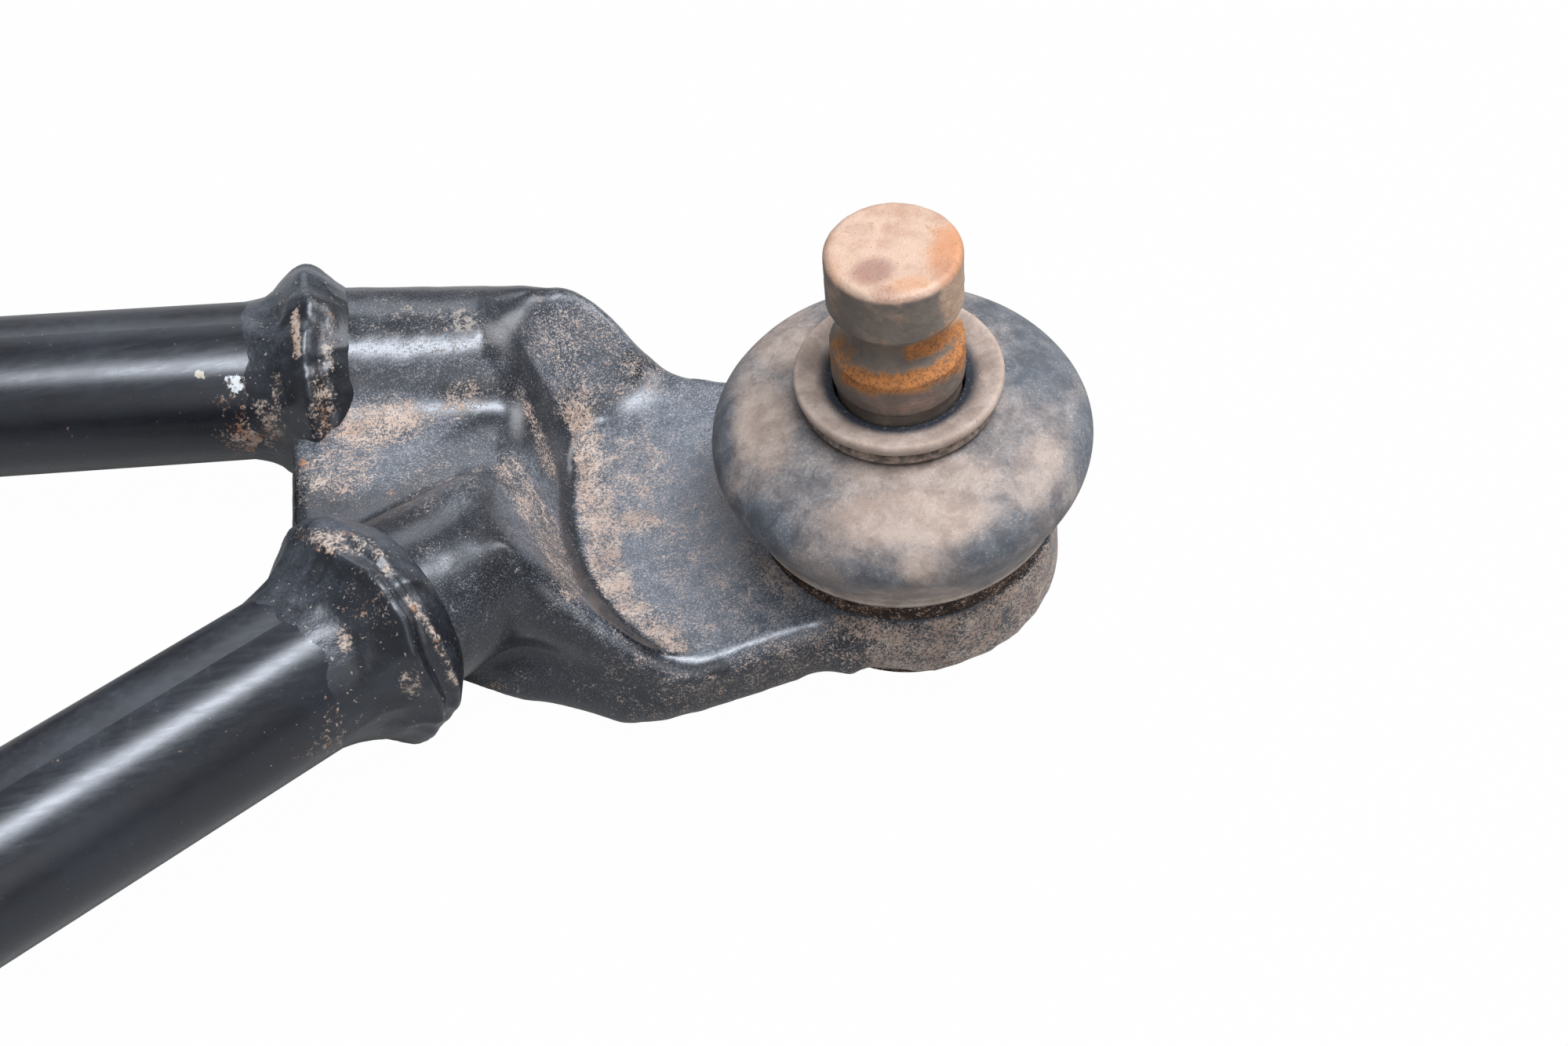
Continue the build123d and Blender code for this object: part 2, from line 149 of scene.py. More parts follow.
def smooth_curve(points, count):
    """A natural cubic spline through points, read at count places even in length."""
    p = np.asarray(points, float)
    t = np.concatenate([[0], np.cumsum(np.sqrt(np.linalg.norm(np.diff(p, axis=0), axis=1)))])
    n = len(p)
    h = np.diff(t)
    a = np.zeros((n, n))
    b = np.zeros((n, p.shape[1]))
    a[0, 0] = a[-1, -1] = 1
    for i in range(1, n - 1):
        a[i, i - 1] = h[i - 1]
        a[i, i] = 2 * (h[i - 1] + h[i])
        a[i, i + 1] = h[i]
        b[i] = 6 * ((p[i + 1] - p[i]) / h[i] - (p[i] - p[i - 1]) / h[i - 1])
    m = np.linalg.solve(a, b)
    fine = np.linspace(0, t[-1], CURVE_STEPS * n)
    k = np.clip(np.searchsorted(t, fine, side="right") - 1, 0, n - 2)
    u = (fine - t[k])[:, None]
    w = (t[k + 1] - fine)[:, None]
    d = h[k][:, None]
    curve = (m[k] * w**3 + m[k + 1] * u**3) / (6 * d)
    curve += (p[k] / d - m[k] * d / 6) * w + (p[k + 1] / d - m[k + 1] * d / 6) * u
    run = np.concatenate([[0], np.cumsum(np.linalg.norm(np.diff(curve, axis=0), axis=1))])
    even = np.linspace(0, run[-1], count)
    return np.column_stack([np.interp(even, run, curve[:, j]) for j in range(p.shape[1])])


def line(start, end, step):
    """Points from start up to, but not including, end, about step apart."""
    start, end = np.asarray(start, float), np.asarray(end, float)
    count = max(1, int(np.ceil(np.linalg.norm(end - start) / step)))
    return start + (end - start) * (np.arange(count) / count)[:, None]


def turned(name, profile, segments, closed, wobble):
    """A profile of (radius, height) turned about the stud.

    wobble(angle, radius, height) says how far a point moves outwards.
    """
    profile = np.asarray(profile, float)
    rows = len(profile)
    points = []
    for s in range(segments):
        angle = tau * s / segments
        for radius, height in profile:
            r = radius + (wobble(angle, radius, height) if radius > ON_AXIS else 0)
            points.append((r * cos(angle), r * sin(angle), height))
    faces = []
    for s in range(segments):
        t = (s + 1) % segments
        for r in range(rows if closed else rows - 1):
            q = (r + 1) % rows
            faces.append((s * rows + r, s * rows + q, t * rows + q, t * rows + r))
    return new_mesh(name, leaned(points), faces)


def as_points(mesh):
    co = np.zeros(len(mesh.vertices) * 3, np.float32)
    mesh.vertices.foreach_get("co", co)
    return co.reshape(-1, 3).astype(float)


def relaxed(points, edges, weights, rounds):
    """Laplacian smoothing: each point moves towards its neighbours' mean by its weight."""
    a, b = edges[:, 0], edges[:, 1]
    n = len(points)
    degree = np.bincount(np.concatenate([a, b]), minlength=n)[:, None]
    p = points.copy()
    for _ in range(rounds):
        total = np.column_stack([
            np.bincount(a, weights=p[b, j], minlength=n)
            + np.bincount(b, weights=p[a, j], minlength=n)
            for j in range(3)
        ])
        p += weights[:, None] * (total / degree - p)
    return p


def ease(value, low, high):
    t = np.clip((value - low) / (high - low), 0, 1)
    return t * t * (3 - 2 * t)


def set_attribute(mesh, name, values):
    attribute = mesh.attributes.new(name, "FLOAT", "POINT")
    attribute.data.foreach_set("value", np.asarray(values, np.float32))


# Shading


class Shader:
    """A node material with short calls for the nodes it needs."""

    def __init__(self, name):
        self.material = bpy.data.materials.new(name)
        self.material.use_nodes = True
        self.tree = self.material.node_tree
        self.tree.nodes.clear()
        self.place = self.node("ShaderNodeTexCoord").outputs["Object"]

    def node(self, kind, values=None, **settings):
        made = self.tree.nodes.new(kind)
        for key, value in settings.items():
            setattr(made, key, value)
        for key, value in (values or {}).items():
            self.give(made.inputs[key], value)
        return made

    def give(self, socket, value):
        if isinstance(value, bpy.types.NodeSocket):
            self.tree.links.new(value, socket)
        elif isinstance(value, tuple) and len(value) == 3 and socket.type == "RGBA":
            socket.default_value = (*value, 1)
        else:
            socket.default_value = value

    def noise(self, size, detail, rough=0.55, bend=0.0, stretch=None):
        """Noise from 0 to 1 whose features are size millimetres across."""
        place = self.place
        if stretch:
            place = self.node("ShaderNodeMapping", {"Vector": place, "Scale": stretch}).outputs[0]
        values = {
            "Vector": place, "Scale": 1 / (size * MM), "Detail": detail, "Roughness": rough,
            "Distortion": bend,
        }
        return self.node("ShaderNodeTexNoise", values).outputs["Fac"]

    def cells(self, size):
        """Distance to the middle of the nearest cell, with cells about size millimetres across."""
        values = {"Vector": self.place, "Scale": 1 / (size * MM)}
        return self.node("ShaderNodeTexVoronoi", values).outputs["Distance"]

    def attribute(self, name):
        return self.node("ShaderNodeAttribute", attribute_name=name).outputs["Fac"]

    def span(self, value, low, high, bottom=0.0, top=1.0):
        """A smooth step: bottom where value is low or less, top where it is high or more."""
        values = {
            "Value": value, "From Min": low, "From Max": high, "To Min": bottom, "To Max": top,
        }
        return self.node("ShaderNodeMapRange", values, interpolation_type="SMOOTHSTEP").outputs[0]

    def math(self, operation, a, b):
        made = self.node("ShaderNodeMath", operation=operation)
        self.give(made.inputs[0], a)
        self.give(made.inputs[1], b)
        return made.outputs[0]

    def both(self, a, b):
        return self.math("MULTIPLY", a, b)

    def plus(self, *values):
        total = values[-1]
        for value in reversed(values[:-1]):
            total = self.math("ADD", value, total)
        return total

    def swing(self, value, amount):
        """A value around a half, such as a noise, as one around 0 that is scaled by amount."""
        return self.both(self.math("SUBTRACT", value, 0.5), amount)

    def most(self, a, b):
        return self.math("MAXIMUM", a, b)

    def mix(self, share, a, b):
        made = self.node("ShaderNodeMix", data_type="RGBA")
        self.give(made.inputs[0], share)
        self.give(made.inputs[6], a)
        self.give(made.inputs[7], b)
        return made.outputs[2]

    def blend(self, share, a, b):
        made = self.node("ShaderNodeMix", data_type="FLOAT")
        self.give(made.inputs[0], share)
        self.give(made.inputs[2], a)
        self.give(made.inputs[3], b)
        return made.outputs[0]

    def facing(self, index):
        """How far the surface faces along an axis of the row frame, from -1 to 1."""
        normal = self.node("ShaderNodeTexCoord").outputs["Normal"]
        return self.node("ShaderNodeSeparateXYZ", {"Vector": normal}).outputs[index]

    def spot(self, centre, inner, outer):
        """1 within inner millimetres of a point of the row frame, down to 0 at outer."""
        ends = {0: self.place, 1: tuple(c * MM for c in centre)}
        away = self.node("ShaderNodeVectorMath", ends, operation="DISTANCE")
        return self.span(away.outputs["Value"], inner * MM, outer * MM, 1.0, 0.0)

    def finish(
        self, colour, rough, bump, metal=0.0, specular=0.5, coat=0.0, coat_rough=0.3,
        tint=(1, 1, 1),
    ):
        """The surface. bump is rows of (height, distance in millimetres, strength)."""
        surface = self.node("ShaderNodeBsdfPrincipled", {
            "Base Color": colour, "Roughness": rough, "Metallic": metal,
            "Specular IOR Level": specular, "Coat Weight": coat, "Coat Roughness": coat_rough,
            "Specular Tint": tint,
        })
        normal = None
        for height, distance, strength in bump:
            values = {"Height": height, "Distance": distance * MM, "Strength": strength}
            if normal is not None:
                values["Normal"] = normal
            normal = self.node("ShaderNodeBump", values).outputs[0]
        if normal is not None:
            self.give(surface.inputs["Normal"], normal)
        output = self.node("ShaderNodeOutputMaterial")
        self.tree.links.new(surface.outputs[0], output.inputs[0])
        return self.material


SKY = (0.86, 0.91, 1.0)
PAINT_DARK = (0.0038, 0.0045, 0.0065)
PAINT = (0.0085, 0.0102, 0.0145)
# Blue-grey haze on the paint; on the welds it is also a painted sheen on the side facing +y
PAINT_HAZE_AND_SHEEN = (0.104, 0.119, 0.146)
DUST = (0.49, 0.365, 0.295)
DUST_PALE = (0.55, 0.445, 0.375)
RUST = (0.44, 0.19, 0.075)
EARTH = (0.30, 0.185, 0.12)
SCRATCHED_PAINT = (0.26, 0.27, 0.30)
SCUFFED_PAINT = (0.31, 0.28, 0.25)
DARK_SPECKS = (0.012, 0.012, 0.014)
TUBE_DARK = (0.0030, 0.0035, 0.0055)
TUBE_LIGHT = (0.0078, 0.0092, 0.0138)
# Blue-grey haze on the tubes, which is also a painted sheen on their side facing +y
TUBE_HAZE_AND_SHEEN = (0.072, 0.082, 0.100)
RUSTY_DUST = (0.42, 0.21, 0.11)
GREY_SPECKS = (0.30, 0.30, 0.30)
CHIPPED_PALE = (0.62, 0.65, 0.68)
CHIPPED_BEIGE = (0.38, 0.33, 0.26)
WELD_PAINT = (0.010, 0.012, 0.017)
WELD_CHIPS = (0.5, 0.42, 0.34)
RUBBER_DARK = (0.066, 0.075, 0.090)
RUBBER_LIGHT = (0.118, 0.130, 0.150)
RUBBER_BY_STUD = (0.022, 0.027, 0.038)
BOOT_DUST_DARK = (0.350, 0.268, 0.222)
BOOT_DUST_LIGHT = (0.440, 0.352, 0.300)
SEAM_DUST = (0.55, 0.48, 0.42)
PALE_GRAINS = (0.55, 0.50, 0.45)
DARK_GRAINS = (0.09, 0.07, 0.06)
STEEL_DARK = (0.135, 0.112, 0.096)
STEEL_LIGHT = (0.205, 0.170, 0.143)
TAN_DARK = (0.38, 0.245, 0.160)
TAN_LIGHT = (0.48, 0.345, 0.255)
PEACH_DARK = (0.43, 0.265, 0.19)
PEACH_LIGHT = (0.56, 0.41, 0.32)
PEACH_RUST = (0.50, 0.235, 0.12)
STEEL_STAIN = (0.24, 0.12, 0.10)
RUST_DARK = (0.20, 0.078, 0.028)
RUST_BRIGHT = (0.50, 0.20, 0.058)
RUST_THIN = (0.33, 0.200, 0.105)
RUST_PITS = (0.12, 0.07, 0.05)
GRIT_DARK = (0.022, 0.014, 0.011)
GRIT_LIGHT = (0.085, 0.047, 0.032)
GRIT_PALE = (0.44, 0.34, 0.28)

# Places on the legs, in millimetres of the row frame: dust at the welds' edges, and two chips
REAR_DUST = (-75.8, 39.2, -37.0)
REAR_TOP_DUST = (-76.0, 41.0, -30.5)
FRONT_DUST = (-77.0, -15.3, -37.0)
FRONT_TOP_DUST = (-72.5, 3.7, -26.0)
CHIP = (-77.1, 42.1, -29.0)
SMALL_CHIP = (-81.4, 44.2, -27.9)


def forging_material():
    s = Shader("forged_paint")
    dust, haze, scuff, orange = [s.attribute(name) for name in ("dust", "haze", "scuff", "orange")]
    coarse = s.noise(8, 5, 0.6)
    patch = s.noise(2.6, 6, 0.72, bend=0.3)
    grain = s.noise(0.42, 3, 0.75)
    fine = s.noise(0.22, 2, 0.6)
    scratch = s.noise(1.5, 3, 0.6, bend=0.4, stretch=(1.0, 4.0, 1.0))
    uneven = s.plus(s.swing(coarse, 1.1), s.swing(patch, 1.0))
    uneven = s.plus(uneven, s.swing(grain, 0.75))
    film = s.span(s.plus(haze, s.both(uneven, s.plus(s.both(haze, 0.9), 0.12))), 0.10, 0.95)
    colour = s.mix(s.span(coarse, 0.35, 0.65), PAINT_DARK, PAINT)
    colour = s.mix(film, colour, PAINT_HAZE_AND_SHEEN)
    pale = s.span(s.plus(fine, s.both(patch, 0.35)), 0.66, 0.80)
    pale = s.both(pale, s.span(haze, 0.1, 0.6, 0.15, 0.85))
    colour = s.mix(pale, colour, SCRATCHED_PAINT)
    loose = s.plus(s.swing(patch, 1.7), s.swing(grain, 2.4))
    loose = s.plus(loose, s.swing(fine, 1.6))
    dusted = s.span(s.plus(dust, loose), 0.34, 0.98, 0.0, 0.88)
    tint = s.mix(s.span(s.noise(3.6, 4, 0.6), 0.42, 0.62), DUST, DUST_PALE)
    tint = s.mix(s.both(s.span(s.noise(5.5, 3), 0.5, 0.7), 0.4), tint, EARTH)
    colour = s.mix(dusted, colour, tint)
    rusty = s.plus(s.both(orange, 0.35), s.both(patch, 0.9), s.both(grain, 0.6))
    rusty = s.span(rusty, 0.98, 1.16)
    colour = s.mix(s.both(rusty, 0.7), colour, RUST)
    scuffed = s.plus(s.both(scuff, 0.44), s.both(patch, 1.3), s.both(grain, 0.9))
    scuffed = s.span(scuffed, 1.46, 1.64)
    colour = s.mix(s.both(scuffed, 0.85), colour, SCUFFED_PAINT)
    dark = s.span(s.plus(s.noise(0.6, 3, 0.7), s.both(coarse, 0.4)), 0.76, 0.88, 0.0, 0.6)
    colour = s.mix(dark, colour, DARK_SPECKS)
    matte = s.most(dusted, scuffed)
    rough = s.blend(matte, s.blend(film, 0.27, 0.44), 0.92)
    bump = (
        (s.noise(5, 4), 0.18, 0.35), (patch, 0.07, 0.35), (grain, 0.03, 0.4),
        (scratch, 0.03, 0.25), (dusted, 0.10, 0.6),
    )
    coat = s.blend(matte, 0.22, 0.0)
    return s.finish(colour, rough, bump, specular=0.75, coat=coat, coat_rough=0.25, tint=SKY)


def tube_material():
    s = Shader("tube_paint")
    coarse = s.noise(14, 4, 0.55)
    fine = s.noise(1.3, 5, 0.68)
    grain = s.noise(0.4, 2, 0.6)
    scratch = s.noise(2.0, 4, 0.65, bend=0.3, stretch=(0.35, 2.6, 2.6))
    colour = s.mix(s.span(coarse, 0.35, 0.7), TUBE_DARK, TUBE_LIGHT)
    # Painted reflection: the side facing +y gets a blue-grey sheen, with random haze mixed in
    outer = s.span(s.facing(1), -0.45, 0.35)
    film = s.plus(s.both(outer, 0.5), s.swing(coarse, 0.9))
    film = s.span(s.plus(film, s.swing(fine, 0.7)), 0.16, 0.95, 0.0, 0.5)
    colour = s.mix(film, colour, TUBE_HAZE_AND_SHEEN)
    near_rear = s.most(s.spot(REAR_DUST, 1.5, 7.5), s.both(s.spot(REAR_TOP_DUST, 2, 7), 0.5))
    near_front = s.both(s.most(s.spot(FRONT_DUST, 2, 9), s.spot(FRONT_TOP_DUST, 1, 8)), 0.55)
    dusty = s.plus(s.both(s.most(near_rear, near_front), 0.62), s.swing(fine, 1.6))
    dusted = s.span(s.plus(dusty, s.swing(grain, 1.2)), 0.36, 0.72, 0.0, 0.85)
    colour = s.mix(dusted, colour, s.mix(s.span(s.noise(2.2, 3), 0.45, 0.6), DUST, RUSTY_DUST))
    specks = s.both(s.span(grain, 0.72, 0.76), s.span(s.noise(9, 3), 0.46, 0.64))
    colour = s.mix(s.both(specks, 0.7), colour, GREY_SPECKS)
    flake = s.plus(s.both(s.noise(0.9, 5, 0.75), 1.2), s.both(s.spot(CHIP, 0.4, 3.0), 0.5))
    flake = s.span(flake, 1.02, 1.08)
    colour = s.mix(flake, colour, CHIPPED_PALE)
    beige = s.plus(s.noise(0.8, 3, 0.6), s.both(s.spot(SMALL_CHIP, 0.3, 1.3), 0.5))
    beige = s.span(beige, 0.86, 0.92)
    colour = s.mix(beige, colour, CHIPPED_BEIGE)
    rough = s.plus(0.27, s.both(s.span(scratch, 0.35, 0.75), 0.10))
    rough = s.blend(s.most(dusted, film), rough, 0.58)
    bump = (
        (s.noise(9, 3), 0.16, 0.3), (scratch, 0.02, 0.25), (fine, 0.03, 0.3), (flake, 0.05, 0.6),
    )
    return s.finish(colour, rough, bump, specular=0.7, coat=0.18, coat_rough=0.28, tint=SKY)


def weld_material():
    s = Shader("weld_paint")
    dust = s.attribute("dust")
    coarse = s.noise(5, 5, 0.6)
    patch = s.noise(1.8, 5, 0.68, bend=0.5)
    grain = s.noise(0.4, 3, 0.65)
    colour = s.mix(s.span(coarse, 0.35, 0.65), PAINT_DARK, WELD_PAINT)
    # Painted reflection: the side facing +y gets a blue-grey sheen, with random haze mixed in
    film = s.plus(s.both(s.span(s.facing(1), -0.7, 0.35), 0.55), s.swing(coarse, 0.9))
    film = s.span(s.plus(film, s.swing(grain, 0.9)), 0.10, 0.9, 0.0, 0.6)
    colour = s.mix(film, colour, PAINT_HAZE_AND_SHEEN)
    dusty = s.plus(dust, s.swing(patch, 1.9), s.swing(grain, 2.0))
    dusted = s.span(dusty, 0.38, 0.98, 0.0, 0.8)
    tint = s.mix(s.span(patch, 0.42, 0.6), DUST, DUST_PALE)
    tint = s.mix(s.span(s.noise(3.5, 3), 0.54, 0.66), tint, RUST)
    colour = s.mix(dusted, colour, tint)
    chips = s.both(s.span(s.noise(0.7, 2), 0.68, 0.72), 0.5)
    colour = s.mix(chips, colour, WELD_CHIPS)
    rough = s.blend(dusted, s.plus(0.27, s.both(grain, 0.18)), 0.85)
    bump = ((coarse, 0.4, 0.5), (patch, 0.14, 0.5), (grain, 0.05, 0.5))
    coat = s.blend(dusted, 0.2, 0.0)
    return s.finish(colour, rough, bump, specular=0.75, coat=coat, coat_rough=0.25, tint=SKY)


def boot_material():
    s = Shader("boot_rubber")
    dust, seam, wet = s.attribute("dust"), s.attribute("seam"), s.attribute("wet")
    wide = s.noise(11, 4, 0.55, bend=0.3)
    patch = s.noise(3.4, 5, 0.65, bend=0.3)
    grain = s.noise(0.5, 3, 0.72)
    speck = s.noise(0.26, 2, 0.6)
    colour = s.mix(s.span(patch, 0.35, 0.65), RUBBER_DARK, RUBBER_LIGHT)
    dusty = s.plus(dust, s.swing(wide, 0.7), s.swing(patch, 0.45))
    dusty = s.plus(dusty, s.swing(grain, 1.1))
    dusted = s.span(dusty, -0.15, 1.15, 0.0, 0.92)
    tint = s.mix(s.span(patch, 0.38, 0.62), BOOT_DUST_DARK, BOOT_DUST_LIGHT)
    colour = s.mix(dusted, colour, tint)
    colour = s.mix(s.both(seam, s.span(patch, 0.3, 0.6, 0.35, 0.9)), colour, SEAM_DUST)
    # Darker towards the stud
    colour = s.mix(wet, colour, RUBBER_BY_STUD)
    pale = s.both(s.span(s.plus(speck, s.both(patch, 0.3)), 0.76, 0.84), 0.35)
    colour = s.mix(pale, colour, PALE_GRAINS)
    dark = s.both(s.span(s.plus(grain, s.both(wide, 0.25)), 0.74, 0.82), 0.4)
    colour = s.mix(dark, colour, DARK_GRAINS)
    rough = s.blend(wet, s.blend(dusted, s.plus(0.46, s.both(patch, 0.12)), 0.88), 0.38)
    bump = (
        (s.noise(7, 3), 0.12, 0.35), (patch, 0.08, 0.3), (grain, 0.06, 0.4), (speck, 0.03, 0.35),
    )
    return s.finish(colour, rough, bump, specular=0.42)


def stud_material():
    s = Shader("stud_steel")
    rust, top, side, stain = [s.attribute(name) for name in ("rust", "top", "tan", "stain")]
    wide = s.noise(5.5, 4, 0.6, bend=0.4)
    patch = s.noise(1.5, 5, 0.65, bend=0.3)
    grain = s.noise(0.34, 3, 0.7)
    rows = s.plus(s.swing(wide, 0.9), s.swing(patch, 0.5))
    steel = s.mix(s.span(wide, 0.3, 0.7), STEEL_DARK, STEEL_LIGHT)
    tan = s.mix(s.span(patch, 0.35, 0.65), TAN_DARK, TAN_LIGHT)
    colour = s.mix(s.span(s.plus(side, rows), 0.25, 0.85), steel, tan)
    peach = s.mix(s.span(s.plus(wide, s.both(patch, 0.3)), 0.45, 0.8), PEACH_DARK, PEACH_LIGHT)
    peach = s.mix(s.span(s.plus(side, s.both(rows, 1.6)), 0.15, 1.25), peach, PEACH_RUST)
    colour = s.mix(top, colour, peach)
    stained = s.span(s.plus(stain, rows, s.swing(grain, 0.5)), 0.12, 1.1, 0.0, 0.75)
    colour = s.mix(stained, colour, STEEL_STAIN)
    rusted = s.plus(rust, s.swing(patch, 1.6), s.swing(grain, 0.9))
    rusted = s.plus(rusted, s.swing(wide, 1.4))
    orange = s.span(s.plus(s.both(grain, 0.6), s.both(patch, 0.4)), 0.38, 0.60)
    orange = s.mix(orange, RUST_DARK, RUST_BRIGHT)
    orange = s.mix(s.span(rust, 0.95, 0.45, 0.0, 0.6), orange, RUST_THIN)
    colour = s.mix(s.span(rusted, 0.10, 0.95, 0.0, 0.95), colour, orange)
    pits = s.span(s.plus(grain, s.both(patch, 0.35)), 0.80, 0.90, 0.0, 0.5)
    colour = s.mix(pits, colour, RUST_PITS)
    rough = s.blend(s.span(rusted, 0.3, 0.7), 0.52, 0.88)
    bump = ((wide, 0.10, 0.35), (patch, 0.08, 0.4), (grain, 0.05, 0.5), (rusted, 0.14, 0.5))
    return s.finish(colour, rough, bump, metal=0.15, specular=0.45)


def plain_material(name, dark, light, rough, size=2.0, metal=0.0, dust=0.0, bump=0.06):
    """Worn steel or plastic for the pieces that are small, inside or underneath."""
    s = Shader(name)
    wide = s.noise(size * 4, 4, 0.6)
    patch = s.noise(size, 5, 0.65, bend=0.3)
    grain = s.noise(0.4, 3, 0.65)
    colour = s.mix(s.span(s.plus(s.both(wide, 0.5), s.both(patch, 0.5)), 0.38, 0.62), dark, light)
    dusted = s.span(s.plus(dust, s.swing(patch, 1.4)), 0.35, 0.8, 0.0, 0.85)
    colour = s.mix(dusted, colour, DUST)
    specks = s.both(s.span(grain, 0.66, 0.70), 0.4)
    colour = s.mix(specks, colour, DUST_PALE)
    rough = s.blend(dusted, rough, 0.85)
    return s.finish(colour, rough, ((patch, bump, 0.5), (grain, bump / 2, 0.5)), metal=metal)


def grit_material():
    s = Shader("collar_grit")
    cells = s.cells(0.62)
    patch = s.noise(2.2, 4, 0.6)
    grain = s.noise(0.35, 3, 0.7)
    colour = s.mix(s.span(patch, 0.4, 0.65), GRIT_DARK, GRIT_LIGHT)
    pale = s.span(s.plus(grain, s.both(patch, 0.35)), 0.73, 0.83)
    colour = s.mix(pale, colour, GRIT_PALE)
    return s.finish(colour, 0.9, ((cells, 0.35, 0.8), (grain, 0.2, 0.8)), specular=0.3)


# Forging skin: the CAD shape with the rounded corners and valleys of a forging

SKIN_VOXEL = 0.65
# Within this radius and above this height the seat of the ball joint's shell stays as it is
SEAT_RADIUS, SEAT_HEIGHT = 19.0, -37.2
# The eye is worn less than the rest, which starts between these distances from the stud's axis
EYE_EDGE = (21.0, 26.0)
EYE_WEAR, WEAR = 0.28, 0.5
WEAR_ROUNDS, VALLEY_ROUNDS, CORNER_ROUNDS = 30, 150, 220
CORNERS_FROM = 20.4
# Lumps as (size, octaves, height), and the share of them that the eye has up to a radius
LUMPS = ((9.0, 3, 0.13), (2.4, 2, 0.025))
EYE_LUMPS_TO, EYE_LUMPS = 22.5, 0.2
# The eye's wall, which is dusty, starts between these distances from the stud's axis
WALL_EDGE = (20.2, 20.9)


def write_points(mesh, points):
    mesh.vertices.foreach_set("co", (points * MM).astype(np.float32).ravel())
    mesh.update()


def forging_skin():
    source = nodes["knuckle_forging"]
    obj = bpy.data.objects.new("knuckle_skin", source.data.copy())
    bpy.context.scene.collection.objects.link(obj)
    remesh = obj.modifiers.new("remesh", "REMESH")
    remesh.mode = "VOXEL"
    remesh.voxel_size = SKIN_VOXEL * MM
    bpy.context.view_layer.update()
    graph = bpy.context.evaluated_depsgraph_get()
    mesh = bpy.data.meshes.new_from_object(obj.evaluated_get(graph))
    obj.modifiers.clear()
    obj.data = mesh
    mesh.name = "knuckle_skin"
    p = as_points(mesh) / MM
    edges = np.zeros(len(mesh.edges) * 2, np.int32)
    mesh.edges.foreach_get("vertices", edges)
    edges = edges.reshape(-1, 2)
    from_axis, height = from_stud(p)[1:]
    eye = 1 - ease(from_axis, *EYE_EDGE)
    weights = WEAR * (1 - eye) + EYE_WEAR * eye
    weights[(from_axis < SEAT_RADIUS) & (height > SEAT_HEIGHT)] = 0
    p = relaxed(p, edges, weights, WEAR_ROUNDS)
    p = relaxed(p, edges, marked(p, WORN_ROUND, WORN_ROUND_LINES) * (1 - eye), VALLEY_ROUNDS)
    p = relaxed(p, edges, marked(p, CORNERS) * (from_axis > CORNERS_FROM), CORNER_ROUNDS)
    inboard = from_stud(p)[0]
    write_points(mesh, p)
    normals = np.zeros(len(mesh.vertices) * 3, np.float32)
    mesh.vertices.foreach_get("normal", normals)
    normals = normals.reshape(-1, 3).astype(float)
    lumps = np.array([
        sum(fractal(point, size, octaves) * tall for size, octaves, tall in LUMPS) for point in p
    ])
    lumps[from_axis < EYE_LUMPS_TO] *= EYE_LUMPS
    p += normals * lumps[:, None]
    mesh.polygons.foreach_set("use_smooth", [True] * len(mesh.polygons))
    write_points(mesh, p)
    up = normals[:, 2]
    # Painted shade: along the crease at the foot of the shoulder, dust and haze are taken off so it
    # stays dark
    crease_shade = marked(p, (), CREASE_SHADE_STREAKS)
    dust = marked(p, DUST_PATCHES, DUST_STREAKS) * ease(up, -0.25, 0.35)
    wall = eye * ease(from_axis, *WALL_EDGE) * (1 - ease(np.abs(up), 0.6, 0.95))
    dust = np.maximum(dust, 0.70 * wall)
    flank = ease(-normals[:, 1], 0.3, 0.8) * ease(inboard, -60, -30)
    dust = np.maximum(dust, 0.38 * flank) * (1 - crease_shade)
    haze = marked(p, HAZE_PATCHES) * ease(up, -0.1, 0.6) * (1 - 0.9 * crease_shade)
    haze = np.maximum(haze, 0.03)
    set_attribute(mesh, "dust", dust)
    set_attribute(mesh, "haze", haze)
    set_attribute(mesh, "scuff", marked(p, SCUFFS) * ease(up, 0.1, 0.4))
    set_attribute(mesh, "orange", marked(p, ORANGE) * ease(up, -0.3, 0.2))
    mesh.materials.clear()
    mesh.materials.append(forging_material())
    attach(obj, "arm")
    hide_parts("knuckle_forging")


# Where the forging's inner corners are filled and its crests rounded most
WORN_ROUND = (
    (520, 520, 170, 48, -8, 0.4), (820, 500, 90, 40, 10, 0.5), (625, 640, 44, 52, 0, 0.3),
    (735, 900, 60, 40, 0, 0.3),
)
WORN_ROUND_LINES = (
    (34, 0.4, ((640, 385), (652, 470), (668, 560), (672, 620))),
    (26, 0.3, ((840, 850), (930, 838), (1020, 812), (1065, 800))),
)
# Where the front wall and the back rib run into the eye and the plate
CORNERS = ((1085, 835, 78, 46, 0, 0.46), (808, 500, 66, 44, 20, 0.5))

